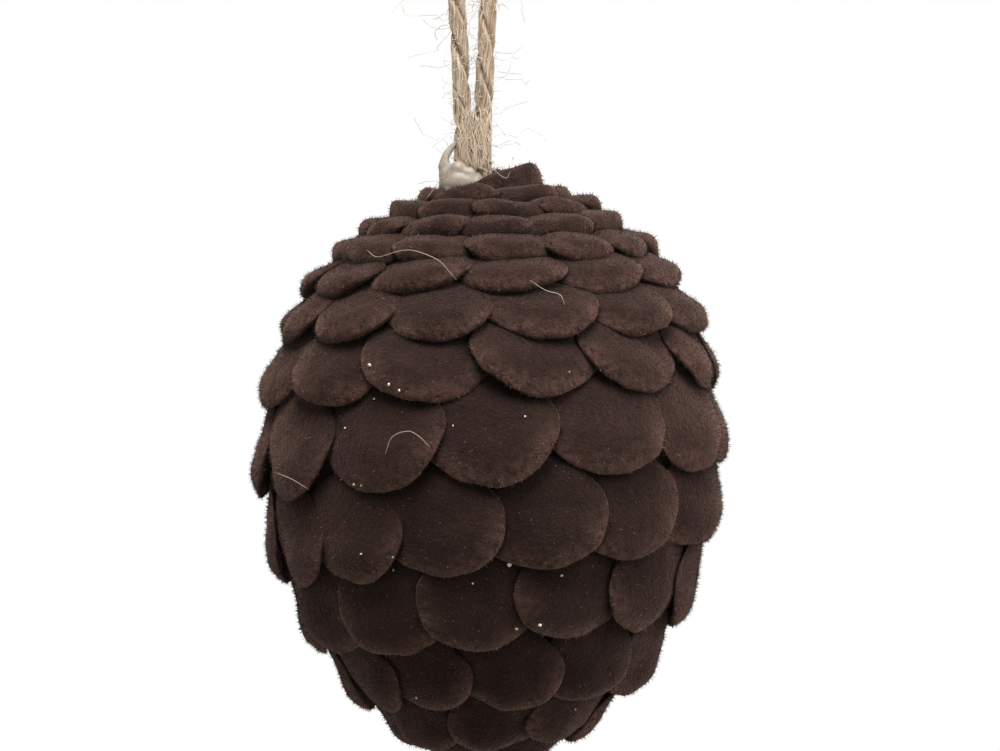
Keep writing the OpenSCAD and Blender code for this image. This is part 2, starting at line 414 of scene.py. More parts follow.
def smooth_route():
    """Points close together on a smooth curve through the route, the way across it and the length so far."""
    route = [Vector((-LEG_X - out, 0, up)) for out, up in LEG]
    route += [Vector((0, 0, TWINE_D / 2))] + [Vector((-p.x, 0, p.z)) for p in reversed(route)]
    place = np.array(curve_through(route, lambda gap: max(2, round(gap / STEP))))
    way = np.gradient(place, axis=0)
    way /= np.linalg.norm(way, axis=1)[:, None]
    across = np.stack([-way[:, 2], np.zeros(len(way)), way[:, 0]], axis=1)
    length = np.concatenate([[0], np.cumsum(np.linalg.norm(np.diff(place, axis=0), axis=1))])
    return place, across, length


class Tubes:
    """Gathers closed tubes into one mesh, with the tone of each and the place on its fibres."""

    # The scale of the place on a fibre: round it, from fibre to fibre and for each metre along it
    ROUND, APART, ALONG = 2.2, 31, 170

    def __init__(self):
        self.points, self.faces, self.tones, self.lays = [], [], [], []

    def add(self, rings, tone, lengths):
        """rings is an array of rings, points in a ring and coordinates. lengths has one for each ring."""
        count, sides = rings.shape[:2]
        base = len(self.points)
        self.points.extend(rings.reshape(-1, 3).tolist())
        self.tones.extend([tone] * (count * sides))
        for k in range(count):
            for j in range(sides):
                turn = 2 * math.pi * j / sides
                self.lays.append((self.ROUND * math.cos(turn) + self.APART * tone,
                                  self.ROUND * math.sin(turn), lengths[k] * self.ALONG))
        for k in range(count - 1):
            for j in range(sides):
                a, b = base + k * sides + j, base + k * sides + (j + 1) % sides
                self.faces.append((a, b, b + sides, a + sides))
        self.faces.append(tuple(base + j for j in reversed(range(sides))))
        self.faces.append(tuple(base + (count - 1) * sides + j for j in range(sides)))

    def mesh(self, name):
        made = bpy.data.meshes.new(name)
        made.from_pydata(self.points, [], self.faces)
        set_values(made, "tone", self.tones)
        layer = made.attributes.new("lay", "FLOAT_VECTOR", "POINT")
        layer.data.foreach_set("vector", np.array(self.lays, np.float32).ravel())
        made.shade_smooth()
        upright(made)
        return made


def upright(mesh):
    """Turns every face of closed shells outwards."""
    work = bmesh.new()
    work.from_mesh(mesh)
    bmesh.ops.recalc_face_normals(work, faces=work.faces)
    work.to_mesh(mesh)
    work.free()


def wander(length, seed, per_metre):
    """A smooth random number from about -1 to 1 for each length along a strand."""
    return np.array([noise.noise(Vector((seed * 7.13, s * per_metre, 0.5))) * 1.6 for s in length])


def make_twine(place, across, length):
    """Two plies of strands. The plies twist round each other, and the strands in a ply the other way."""
    draw = random.Random(4)
    tubes = Tubes()
    swell = 1 + 0.05 * wander(length, 90, 140)
    for ply in range(PLIES):
        turn = 2 * math.pi * (length / PLY_LAY + ply / PLIES) + 0.5 * wander(length, 50 + ply, 60) + 1.0
        out = across * np.cos(turn)[:, None] + DEPTH_WAY * np.sin(turn)[:, None]
        beside = DEPTH_WAY * np.cos(turn)[:, None] - across * np.sin(turn)[:, None]
        heart = place + out * PLY_OFF
        rounds = rounds_of(PLY_CORE_SIDES)
        core = (heart[:, None] + out[:, None] * (PLY_CORE * PLY_DEEP * np.cos(rounds))[None, :, None]
                + beside[:, None] * (PLY_CORE * PLY_WIDE * np.sin(rounds))[None, :, None])
        tubes.add(core, 0.2, length)
        for strand in range(STRANDS):
            seed = ply * STRANDS + strand
            angle = 2 * math.pi * (strand / STRANDS - length / STRAND_LAY) + 0.25 * wander(length, seed, 90)
            share = swell * (1 + 0.10 * wander(length, seed + 200, 150))
            middle = (heart + out * (PLY_DEEP * share * np.cos(angle))[:, None]
                      + beside * (PLY_WIDE * share * np.sin(angle))[:, None])
            radius = STRAND_R * (1 + 0.30 * wander(length, seed + 400, 120)) * draw.uniform(0.7, 1.3)
            rounds = rounds_of(STRAND_SIDES)[None, :, None]
            ring = across[:, None] * np.cos(rounds) + DEPTH_WAY * np.sin(rounds)
            tubes.add(middle[:, None] + ring * radius[:, None, None], draw.random(), length)
    return new_piece("twine", tubes.mesh("twine"), jute)


def input_of(tree, name, kind, default=None):
    """Adds a named input to a geometry tree and returns its identifier."""
    socket = tree.interface.new_socket(name=name, in_out="INPUT", socket_type=kind)
    if default is not None:
        socket.default_value = default
    return socket.identifier


def new_geometry_tree(name, inputs):
    """A geometry tree with named inputs, its sheet, their wires and their identifiers."""
    tree = bpy.data.node_groups.new(name, "GeometryNodeTree")
    tree.interface.new_socket(name="Geometry", in_out="OUTPUT", socket_type="NodeSocketGeometry")
    identifiers = {label: input_of(tree, label, kind, default) for label, kind, default in inputs}
    sheet = Sheet(tree)
    wires = dict(zip(identifiers, sheet.node("NodeGroupInput")))
    return tree, sheet, wires, identifiers


def end_tree(sheet, geometry):
    sheet.node("NodeGroupOutput", None, {0: geometry})


def random_vector(sheet, low, high, seed):
    return sheet.node("FunctionNodeRandomValue", {"data_type": "FLOAT_VECTOR"},
                      {0: low, 1: high, "Seed": seed})[0]


def random_number(sheet, low, high, seed):
    return sheet.node("FunctionNodeRandomValue", {"data_type": "FLOAT"},
                      {2: low, 3: high, "Seed": seed})[1]


def vector_math(sheet, operation, first, second):
    return sheet.node("ShaderNodeVectorMath", {"operation": operation}, {0: first, 1: second})[0]


def scaled(sheet, vector, factor):
    return sheet.node("ShaderNodeVectorMath", {"operation": "SCALE"}, {0: vector, "Scale": factor})[0]


def scattered(sheet, given, density):
    """Random points on the given surface, and how each is turned to stand on it."""
    points, _, rotation = sheet.node("GeometryNodeDistributePointsOnFaces", {"distribute_method": "RANDOM"},
                                     {"Mesh": given["Surface"], "Density": density, "Seed": given["Seed"]})
    return points, rotation


def stood(sheet, points, shape, rotation, lean, scale):
    """A shape on each point, leaning away from upright."""
    turned = sheet.node("FunctionNodeRotateRotation", {"rotation_space": "LOCAL"}, {0: rotation, 1: lean})[0]
    shapes = sheet.node("GeometryNodeInstanceOnPoints", None, {
        "Points": points, "Instance": shape, "Rotation": turned, "Scale": scale})[0]
    return sheet.node("GeometryNodeRealizeInstances", None, {0: shapes})[0]


def finished(sheet, geometry, finish, **chosen):
    """Gives a finish to all of a geometry, or to the part that Selection chooses."""
    return sheet.node("GeometryNodeSetMaterial", None, dict(chosen, Geometry=geometry, Material=finish))[0]


def named(sheet, name):
    return sheet.node("GeometryNodeInputNamedAttribute", {"data_type": "FLOAT"}, {"Name": name})[0]


# A noise colour's middle, and the shades from which a needle of flock is of the middle or the pale tone
MIDDLE_GREY = (0.5, 0.5, 0.5)
MID_FROM = 0.40
PALE_FROM = 0.93


def pile_tree():
    """Grows flock on a surface: short closed needles, leaning in small tufts."""
    tree, sheet, given, identifiers = new_geometry_tree("pile", [
        ("Surface", "NodeSocketGeometry", None), ("Density", "NodeSocketFloat", 5e6),
        ("Length", "NodeSocketFloat", 0.7 * MM), ("Thickness", "NodeSocketFloat", 0.1 * MM),
        ("Lean", "NodeSocketFloat", 0.6), ("Seed", "NodeSocketInt", 0),
        ("Dark", "NodeSocketMaterial", None), ("Mid", "NodeSocketMaterial", None),
        ("Pale", "NodeSocketMaterial", None)])
    seed = given["Seed"]
    points, rotation = scattered(sheet, given, given["Density"] * named(sheet, "nap"))
    # Needles shut in between scales are picked darker, a painted shade, and those on the rims paler, a
    # painted sheen.
    lit = named(sheet, "open").between(0.35, 0.90)
    edge = named(sheet, "rim").between(0.5, 1.0) * named(sheet, "tip").between(0.3, 0.8)
    tone = (random_number(sheet, 0.0, 1.0, seed + 11) + edge * 0.16) * lit
    points = sheet.node("GeometryNodeStoreNamedAttribute", {"data_type": "FLOAT", "domain": "POINT"},
                        {"Geometry": points, "Name": "shade", "Value": tone})[0]
    needle = sheet.node("GeometryNodeMeshCone", {"fill_type": "NGON"}, {
        "Vertices": 3, "Radius Top": 0.0, "Radius Bottom": given["Thickness"] * 0.5,
        "Depth": given["Length"]})[0]
    place = sheet.node("GeometryNodeInputPosition")[0]
    tuft = sheet.node("ShaderNodeTexNoise", None, {"Vector": place, "Scale": 700.0, "Detail": 1.0})[1]
    tuft = vector_math(sheet, "SUBTRACT", tuft, MIDDLE_GREY)
    tuft = vector_math(sheet, "MULTIPLY", tuft, (6.0, 6.0, 0.0))
    stray = random_vector(sheet, (-0.8, -0.8, -3.1), (0.8, 0.8, 3.1), seed + 5)
    lean = scaled(sheet, vector_math(sheet, "ADD", tuft, stray), given["Lean"])
    tall = random_number(sheet, 0.55, 1.25, seed + 7)
    size = sheet.node("ShaderNodeCombineXYZ", None, {"X": 1.0, "Y": 1.0, "Z": tall})[0]
    needles = stood(sheet, points, needle, rotation, lean, size)
    shade = named(sheet, "shade")
    needles = finished(sheet, needles, given["Dark"])
    for limit, label in ((MID_FROM, "Mid"), (PALE_FROM, "Pale")):
        needles = finished(sheet, needles, given[label], Selection=shade > limit)
    end_tree(sheet, needles)
    return tree, identifiers


def grown(tree_and_inputs, surface, name, **inputs):
    """What a geometry tree makes on a copy of a surface, as a new piece."""
    tree, identifiers = tree_and_inputs
    bed = bpy.data.objects.new(name + "_bed", surface.copy())
    bpy.context.scene.collection.objects.link(bed)
    modifier = bed.modifiers.new("grow", "NODES")
    modifier.node_group = tree
    for label, value in inputs.items():
        modifier[identifiers[label]] = value
    return new_piece(name, applied(bed, name))


def hair_tree():
    """Grows loose hairs on the twine: thin tapering tubes that bend as they go."""
    tree, sheet, given, identifiers = new_geometry_tree("hairs", [
        ("Surface", "NodeSocketGeometry", None), ("Density", "NodeSocketFloat", 1e5),
        ("Length", "NodeSocketFloat", 5 * MM), ("Radius", "NodeSocketFloat", 0.04 * MM),
        ("Lean", "NodeSocketFloat", 1.0), ("Curl", "NodeSocketFloat", 2 * MM), ("Steps", "NodeSocketInt", 8),
        ("Seed", "NodeSocketInt", 0), ("Finish", "NodeSocketMaterial", None)])
    seed = given["Seed"]
    points, rotation = scattered(sheet, given, given["Density"])
    reach = sheet.node("ShaderNodeCombineXYZ", None, {"Z": given["Length"]})[0]
    aside, up = given["Length"] * 0.45, given["Length"] * 0.35
    bend = sheet.node("ShaderNodeCombineXYZ", None, {"X": aside, "Z": up})[0]
    hair = sheet.node("GeometryNodeCurveQuadraticBezier", None, {
        "Resolution": given["Steps"], "Start": (0, 0, 0), "Middle": bend, "End": reach})[0]
    lean = random_vector(sheet, (-1.0, -1.0, -3.1), (1.0, 1.0, 3.1), seed + 3)
    lean = scaled(sheet, lean, given["Lean"])
    size = random_number(sheet, 0.0, 1.0, seed + 4) ** 2.2 * 1.6 + 0.35
    hairs = stood(sheet, points, hair, rotation, lean, size)
    share = sheet.node("GeometryNodeSplineParameter")[0]
    place = sheet.node("GeometryNodeInputPosition")[0]
    drift = sheet.node("ShaderNodeTexNoise", None, {"Vector": place, "Scale": 260.0, "Detail": 2.0})[1]
    drift = vector_math(sheet, "SUBTRACT", drift, MIDDLE_GREY)
    drift = scaled(sheet, drift, share * given["Curl"])
    hairs = sheet.node("GeometryNodeSetPosition", None, {"Geometry": hairs, "Offset": drift})[0]
    hairs = sheet.node("GeometryNodeSetCurveRadius", None, {"Curve": hairs, "Radius": 1.0 - share * 0.7})[0]
    outline = sheet.node("GeometryNodeCurvePrimitiveCircle", {"mode": "RADIUS"},
                         {"Resolution": 3, "Radius": given["Radius"]})[0]
    hairs = sheet.node("GeometryNodeCurveToMesh", None, {
        "Curve": hairs, "Profile Curve": outline, "Fill Caps": True})[0]
    hairs = sheet.node("GeometryNodeRealizeInstances", None, {0: hairs})[0]
    end_tree(sheet, finished(sheet, hairs, given["Finish"]))
    return tree, identifiers


place, across, length = smooth_route()
twine = placed(make_twine(place, across, length), "jute", "twine_loop")
hairs_on = hair_tree()
FUZZ = {"Density": 2.2e5, "Length": 1.8 * MM, "Radius": 0.030 * MM, "Lean": 1.1, "Curl": 2.5 * MM,
        "Steps": 4, "Seed": 3, "Finish": jute_hair}
STRAYS = {"Density": 3.5e4, "Length": 6.5 * MM, "Radius": 0.045 * MM, "Lean": 0.7, "Curl": 9 * MM,
          "Steps": 11, "Seed": 8, "Finish": stray_hair}
fuzz = placed(grown(hairs_on, twine.data, "twine_fuzz", **FUZZ), "jute")
strays = placed(grown(hairs_on, twine.data, "twine_hairs", **STRAYS), "jute")

# The tuft: frayed fibres that hide where the two legs meet above the glue. The heights at which fibres
# start, the lowest end and the lengths are in mm, and so are the widths over which they start and stay
TUFT_FIBRES = 330
TUFT_TOP = (-61.5, -67.5)
TUFT_END = -72.6
TUFT_LONG = (3.5, 8.0)
TUFT_WIDE = 2.9
TUFT_WIDEST = 3.1
TUFT_R = (0.08 * MM, 0.15 * MM)
TUFT_POINTS = 9
TUFT_SIDES = 3
TUFT_OUT = 1.58 * MM
TUFT_LEAN = 0.10
TUFT_LOOSE = 0.7
TUFT_LOOSE_EVERY = 9
TUFT_SWAY = 0.9 * MM
TUFT_ARCH = 0.12 * MM
TUFT_NARROWS = 0.10


def tuft_depth(x, lift):
    """How far in front of the legs' middle a fibre lies. It bridges the groove between the legs."""
    beyond = max(0.0, abs(x) - LEG_X)
    return math.sqrt(max(0.0, (TUFT_OUT + lift) ** 2 - beyond ** 2))


def make_tuft():
    """Loose fibres laid over the foot of both legs, on the front and the back."""
    draw = random.Random(31)
    tubes = Tubes()
    for number in range(TUFT_FIBRES):
        side = -1 if number % 3 else 1
        x, lean = draw.uniform(-TUFT_WIDE, TUFT_WIDE) * MM, draw.gauss(0, TUFT_LEAN)
        top = draw.uniform(*TUFT_TOP)
        end = max(TUFT_END, top - draw.uniform(*TUFT_LONG))
        if number % TUFT_LOOSE_EVERY == 0:
            lean = draw.uniform(-TUFT_LOOSE, TUFT_LOOSE)
        lift, radius, tone = draw.uniform(-0.10, 0.30) * MM, draw.uniform(*TUFT_R), draw.uniform(0.6, 1.8)
        spots = []
        for k in range(TUFT_POINTS):
            share = k / (TUFT_POINTS - 1)
            z = (top + (end - top) * share) * MM
            sway = noise.noise(Vector((number * 3.7, share * 2.2, 0.0))) * TUFT_SWAY
            across_x = (x + sway + lean * (top * MM - z)) * (1 - TUFT_NARROWS * share)
            across_x = max(-TUFT_WIDEST * MM, min(TUFT_WIDEST * MM, across_x))
            rise = lift + math.sin(math.pi * share) * TUFT_ARCH
            spots.append((across_x, side * tuft_depth(across_x, rise), z))
        spots = np.array(spots)
        rounds = rounds_of(TUFT_SIDES)[None, :, None]
        taper = radius * (1 - 0.75 * np.abs(np.linspace(-1, 1, TUFT_POINTS)) ** 3)
        ring = np.array([1.0, 0, 0]) * np.cos(rounds) + DEPTH_WAY * np.sin(rounds)
        tubes.add(spots[:, None] + ring * taper[:, None, None], tone, spots[:, 2])
    return new_piece("twine_tuft", tubes.mesh("twine_tuft"), jute)


tuft = placed(make_tuft(), "jute")

# Softening of the scales. A solid scale has one point on its hidden side with 16 edges, its hollow, and
# one in the middle of its face with 8 edges, its crown
WELD = 0.001 * MM
HOLLOW_EDGES = 16
CROWN_EDGES = 8
TIP_SWAY = 0.35 * MM

# How far the noise moves a tip or dents a face, its turns for each metre, and its shift for each tone
WAVE, WAVE_TURNS, WAVE_SHIFT = 0.9 * MM, 90, 40
RIPPLE, RIPPLE_TURNS, RIPPLE_SHIFT = 0.35 * MM, 300, 60
DENT, DENT_TURNS, DENT_SHIFT = 0.25 * MM, 210, 40

# How near the rim the points round a scale's crown count, where on its way to the tip a scale starts to
# bend, and the share of its swelling that it has at its root and how fast that grows
RIDGE_RIM = 0.35
BEND_FROM = 0.35
ROOT_PLUMP = 0.35
PLUMP_GROWS = 1.6

# How much a scale swells on its face, how much it sags under its tip and how far its tip bends in,
# all in mm, and the share by which it spreads sideways: for each row from the crown down
PLUMP = [3.0, 2.2, 2.0, 1.8, 1.4, 1.2, 1.3, 1.0, 0.8, 0.7, 0.6, 0.6, 0.6, 0.6]
SAG = [0.6, 0.6, 0.6, 0.6, 0.5, 0.4, 0.3, 0.2, 0.15, 0.15, 0.15, 0.15, 0.2, 0.3]
BEND_IN = [6.4, 4.6, 4.2, 3.6, 2.2, 0.5, 0.1, 0.0, 0.1, 0.3, 0.5, 0.6, 0.5, 0.4]
SPREAD = [0.40, 0.42, 0.38, 0.34, 0.28, 0.22, 0.17, 0.14, 0.12, 0.12, 0.12, 0.12, 0.12, 0.10]
SPREAD_DOWN = 0.35
CROWN_LIFT = 1.7 * MM
TWIST = math.radians(5)


def islands(work):
    """The separate scales of a row, each a set of vertices found from its crown."""
    for crown in [v for v in work.verts if len(v.link_edges) == CROWN_EDGES]:
        found, edge = {crown}, [crown]
        while edge:
            edge = [e.other_vert(v) for v in edge for e in v.link_edges if e.other_vert(v) not in found]
            found.update(edge)
        yield crown, found


def mark_scale(crown, found, layers, number, draw):
    """Marks how near a scale's points are to its rim, its tip and its hidden side, then cushions it."""
    hollow = next(v for v in found if len(v.link_edges) == HOLLOW_EDGES)
    ridge = {e.other_vert(crown) for e in crown.link_edges}
    low = {e.other_vert(hollow) for e in hollow.link_edges}
    out = (crown.co - hollow.co).normalized()
    down = Vector((0, 0, -1))
    down = (down - out * down.dot(out)).normalized()
    reach = {v: (v.co - crown.co).dot(down) for v in found}
    near, far = min(reach.values()), max(reach.values())
    tone, sway = draw.random(), draw.uniform(-TIP_SWAY, TIP_SWAY)
    for v in found:
        v[layers["rim"]] = 0.0 if v is crown else RIDGE_RIM if v in ridge else 1.0
        v[layers["under"]] = 1.0 if v is hollow or v in low else 0.0
        v[layers["tip"]] = (reach[v] - near) / (far - near)
        v[layers["tone"]] = tone
    middle = crown.co.copy()
    root = middle + down * near
    turn = Matrix.Rotation(draw.uniform(-TWIST, TWIST), 3, out)
    for v in found:
        share = v[layers["tip"]]
        away = v.co - middle
        curl = max(0.0, (share - BEND_FROM) / (1 - BEND_FROM)) ** 2
        bent = out * (sway * share ** 2 - BEND_IN[number] * MM * curl)
        if v is crown or v in ridge:
            grown_by = ROOT_PLUMP + (1 - ROOT_PLUMP) * min(1.0, PLUMP_GROWS * share)
            v.co += out * PLUMP[number] * MM * grown_by
        elif v is hollow or v in low:
            v.co -= out * SAG[number] * MM * share
        if v is not crown and v is not hollow:
            flat = away - out * away.dot(out)
            along = down * flat.dot(down)
            v.co += (flat - along + along * SPREAD_DOWN) * SPREAD[number]
        v.co = root + turn @ (v.co + bent - root)
        if number == 0:
            v.co.z += CROWN_LIFT


def square_edges(work, layers):
    """Joins the triangles of each scale's edge into squares, which round off evenly."""
    for v in list(work.verts):
        if v[layers["under"]] and len(v.link_edges) != HOLLOW_EDGES:
            rising = [e for e in v.link_edges if not e.other_vert(v)[layers["under"]]]
            if len(rising) == 2:
                yield max(rising, key=lambda e: e.calc_length())


def soft_row(node, number):
    """A row's scales with rounded rims and uneven, cushioned faces. Rows count from 1."""
    draw = random.Random(number)
    work = bmesh.new()
    work.from_mesh(frame["nodes"][node].data)
    bmesh.ops.remove_doubles(work, verts=work.verts, dist=WELD)
    layers = {name: work.verts.layers.float.new(name) for name in ("rim", "under", "tip", "tone")}
    for crown, found in list(islands(work)):
        mark_scale(crown, found, layers, number - 1, draw)
    bmesh.ops.dissolve_edges(work, edges=list(square_edges(work, layers)), use_verts=False)
    mesh = bpy.data.meshes.new(node)
    work.to_mesh(mesh)
    work.free()
    piece = new_piece(node + "_soft", mesh)
    smoothing = piece.modifiers.new("round", "SUBSURF")
    smoothing.levels = smoothing.render_levels = 2
    return uneven(applied(piece, node + "_flocked"))


def uneven(mesh):
    """Works dents into the faces of scales, and waves into their tips."""
    place, normals = points_of(mesh), normals_of(mesh)
    under, tone = values_of(mesh, "under"), values_of(mesh, "tone")
    tip = values_of(mesh, "tip")
    spots = [(Vector(p), t) for p, t in zip(place, tone)]
    wave = np.array([noise.noise_vector(p * WAVE_TURNS + Vector((t * WAVE_SHIFT, 0, 0))) for p, t in spots])
    ripple = np.array([noise.noise_vector(p * RIPPLE_TURNS + Vector((t * RIPPLE_SHIFT, 0, 0)))
                       for p, t in spots])
    dent = np.array([noise.noise(p * DENT_TURNS + Vector((0, t * DENT_SHIFT, 0))) for p, t in spots])
    place = place + normals * (DENT * dent * (1 - under))[:, None]
    place = place + wave * (WAVE * tip)[:, None] + ripple * (RIPPLE * tip)[:, None]
    set_points(mesh, place)
    mesh.shade_smooth()
    return mesh


surfaces = []
for number, node in enumerate(ROWS, 1):
    row = new_piece(f"flocked_row_{number:02d}", soft_row(node, number), velvet)
    surfaces.append(placed(row, "scale_flock", node))

# The closing scale, and the powers that flatten its faces and fill out its rim
TIP_ROUNDS = 32
TIP_RINGS = 6
TIP_THICK = 2.1 * MM
TIP_FLAT = 0.8
TIP_FULL = 0.7


def make_tip():
    """The closing scale: a soft disc on the bottom of the foam."""
    low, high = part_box("tip_scale")
    middle = (low + high) / 2
    radius, thick = (high.x - low.x) / 2, TIP_THICK
    profile = []
    for k in range(1, 2 * TIP_RINGS):
        angle = math.pi * k / (2 * TIP_RINGS)
        flat = math.copysign(abs(math.cos(angle)) ** TIP_FLAT, math.cos(angle))
        profile.append((radius * math.sin(angle) ** TIP_FULL, flat * thick / 2))
    points = [(middle.x, middle.y, low.z + thick)]
    for out, up in profile:
        lift = (high.z - low.z - thick) * (out / radius) ** 2
        points += [(middle.x + out * math.cos(2 * math.pi * j / TIP_ROUNDS),
                    middle.y + out * math.sin(2 * math.pi * j / TIP_ROUNDS),
                    low.z + thick / 2 + up + lift) for j in range(TIP_ROUNDS)]
    points.append((middle.x, middle.y, low.z))
    last = len(points) - 1
    faces = []
    for j in range(TIP_ROUNDS):
        after = (j + 1) % TIP_ROUNDS
        faces.append((0, 1 + j, 1 + after))
        for k in range(len(profile) - 1):
            a = 1 + k * TIP_ROUNDS
            faces.append((a + j, a + TIP_ROUNDS + j, a + TIP_ROUNDS + after, a + after))
        a = 1 + (len(profile) - 1) * TIP_ROUNDS
        faces.append((a + j, last, a + after))
    mesh = bpy.data.meshes.new("flocked_tip")
    mesh.from_pydata(points, [], faces)
    upright(mesh)
    out = np.hypot(*(points_of(mesh)[:, :2] - np.array([middle.x, middle.y])).T) / radius
    set_values(mesh, "rim", out ** 2)
    set_values(mesh, "tone", np.full(len(out), 0.5))
    mesh.shade_smooth()
    return new_piece("flocked_tip", mesh, velvet)


surfaces.append(placed(make_tip(), "scale_flock", "tip_scale"))


def surface_tree():
    """One tree of all the scales, to find where a line meets them."""
    points, faces = [], []
    for piece in surfaces:
        base = len(points)
        points.extend(v.co.copy() for v in piece.data.vertices)
        faces.extend(tuple(base + k for k in face.vertices) for face in piece.data.polygons)
    return BVHTree.FromPolygons(points, faces)


cone = surface_tree()

# How far round itself a point on a scale looks for neighbours that shade it
LOOK_LIFT = 0.25 * MM
LOOK_FAR = 9 * MM
LOOK_TILT = math.radians(52)
LOOK_ROUND = 7

# The share of the flock that stands on a scale's face, and how much more of it on the rim. It starts
# where a point is this open, and is whole when it is opener by NAP_GROWS
FACE_NAP = 0.27
RIM_NAP = 0.38
NAP_FROM = 0.22
NAP_GROWS = 0.12
RIM_FROM = 0.6


def mark_open(mesh):
    """Stores how open each point lies, from 0 between scales to 1 with nothing near, and its flock."""
    place, normals = points_of(mesh), normals_of(mesh)
    side = np.cross(normals, (0.0, 0.0, 1.0)) + 1e-6
    side /= np.linalg.norm(side, axis=1)[:, None]
    ahead = np.cross(side, normals)
    ways = [normals]
    for k in range(LOOK_ROUND):
        turn = 2 * math.pi * k / LOOK_ROUND
        ways.append(normals * math.cos(LOOK_TILT)
                    + (side * math.cos(turn) + ahead * math.sin(turn)) * math.sin(LOOK_TILT))
    starts = (place + normals * LOOK_LIFT).tolist()
    free = np.zeros(len(place))
    for way in ways:
        far = [cone.ray_cast(start, line, LOOK_FAR)[3] for start, line in zip(starts, way.tolist())]
        free += np.array([LOOK_FAR if found is None else found for found in far]) / LOOK_FAR
    free /= len(ways)
    set_values(mesh, "open", free)
    rim = np.clip((values_of(mesh, "rim") - RIM_FROM) / (1 - RIM_FROM), 0, 1)
    nap = FACE_NAP + RIM_NAP * rim
    set_values(mesh, "nap", np.clip((free - NAP_FROM) / NAP_GROWS, 0, 1) * nap)


pile_on = pile_tree()
PILE = {"Density": 5.5e6, "Length": 0.62 * MM, "Thickness": 0.12 * MM, "Lean": 0.45,
        "Dark": pile_dark, "Mid": pile_mid, "Pale": pile_pale}
PILE_SEEDS = 20
for number, piece in enumerate(surfaces):
    mark_open(piece.data)
    name = piece.name.replace("flocked", "pile")
    placed(grown(pile_on, piece.data, name, Seed=number * PILE_SEEDS, **PILE), "scale_flock")

# The foam core shows only in the gaps between scales, so it gets the nearly black velvet of painted shade.
core = frame["nodes"]["foam_core"]
core.data.materials.clear()
core.data.materials.append(painted_shade_velvet)

# The glue: lumps run together round the foot of the twine, and a thin lip up its left side. Each is a
# ball: across, depth, height and radius in mm
GLUE_LUMPS = [(-3.0, 0.0, -73.9, 2.7), (-2.4, -1.2, -74.0, 2.1), (-1.0, -1.5, -74.3, 1.9),
              (0.6, -0.8, -74.6, 1.9), (1.6, 0.4, -75.0, 2.0), (-1.4, 1.0, -74.0, 2.3),
              (-4.1, -0.3, -73.0, 1.7), (-4.6, -0.3, -71.9, 1.1), (-3.4, -0.8, -72.2, 1.2),
              (-4.2, 0.5, -74.9, 1.6), (0.4, 1.4, -74.6, 1.8), (-2.4, -1.4, -72.1, 1.5),
              (-0.7, -1.6, -73.0, 1.4)]
LIP = [(-4.9, -0.4, -71.6, 1.05), (-4.8, -0.5, -70.9, 0.92), (-4.7, -0.6, -70.3, 0.80),
       (-4.4, -0.6, -69.6, 0.72), (-4.0, -0.6, -69.0, 0.66), (-3.6, -0.6, -68.5, 0.62),
       (-3.2, -0.5, -68.0, 0.58), (-2.8, -0.4, -67.6, 0.55)]
GLUE_CELL = 0.2 * MM
GLUE_FLOWS = 16
GLUE_RIPPLE = 0.15 * MM
GLUE_TURNS = 420


def make_glue():
    """One melted lump, fused from balls and let to flow smooth."""
    work = bmesh.new()
    between = [tuple((a + b) / 2 for a, b in zip(p, q)) for p, q in zip(LIP, LIP[1:])]
    for x, y, z, radius in GLUE_LUMPS + LIP + between:
        ball = bmesh.ops.create_icosphere(work, subdivisions=3, radius=radius * MM)["verts"]
        bmesh.ops.translate(work, verts=ball, vec=(x * MM, y * MM, z * MM))
    mesh = bpy.data.meshes.new("glue")
    work.to_mesh(mesh)
    work.free()
    piece = new_piece("glue_rough", mesh)
    fused = piece.modifiers.new("fuse", "REMESH")
    fused.mode, fused.voxel_size, fused.use_smooth_shade = "VOXEL", GLUE_CELL, True
    flow = piece.modifiers.new("flow", "SMOOTH")
    flow.factor, flow.iterations = 0.5, GLUE_FLOWS
    mesh = applied(piece, "glue")
    place = points_of(mesh)
    ripple = np.array([noise.noise(Vector(p) * GLUE_TURNS) for p in place])
    set_points(mesh, place + normals_of(mesh) * (ripple * GLUE_RIPPLE)[:, None])
    mesh.shade_smooth()
    return new_piece("glue", mesh, glue)


placed(make_glue(), "hot_glue", "glue_blob")


def seen_at(x, z):
    """Where the line from the eye past (x, z) mm on the plane of the cone's axis meets a scale."""
    way = (Vector((x * MM, 0, z * MM)) - eye).normalized()
    spot, normal, _, _ = cone.ray_cast(eye, way)
    return spot, normal


# Crumbs of foam on the front: across, up and size in mm
CRUMBS = [(-17.2, -105.2, 0.8), (-14.0, -108.3, 0.8), (-12.3, -109.3, 0.6), (-16.5, -110.8, 0.5),
          (-22.1, -124.4, 0.5), (-19.9, -125.1, 0.5), (-18.7, -125.3, 0.5), (-18.7, -136.9, 0.6),
          (-13.5, -137.4, 0.5), (-13.3, -139.6, 0.5), (0.0, -141.8, 0.6), (6.1, -138.6, 1.2),
          (14.9, -140.5, 0.6), (7.3, -149.4, 0.6), (11.3, -148.7, 0.8), (-9.4, -161.0, 0.5),
          (17.2, -163.0, 0.4), (-21.4, -115.7, 0.5), (-3.3, -115.3, 0.5), (8.8, -113.8, 0.5),
          (16.2, -106.2, 0.4)]
CRUMB_SHARE = 0.72

# Crumbs scattered round the back: how many, over which angles and heights about the cone's middle in
# mm, how large in mm, and from how far out each is dropped on the scales
CRUMBS_ROUND = 26
ROUND_TURNS = (20, 160)
ROUND_HEIGHTS = (-42, 18)
ROUND_SIZES = (0.35, 0.75)
DROP_FROM = 0.2


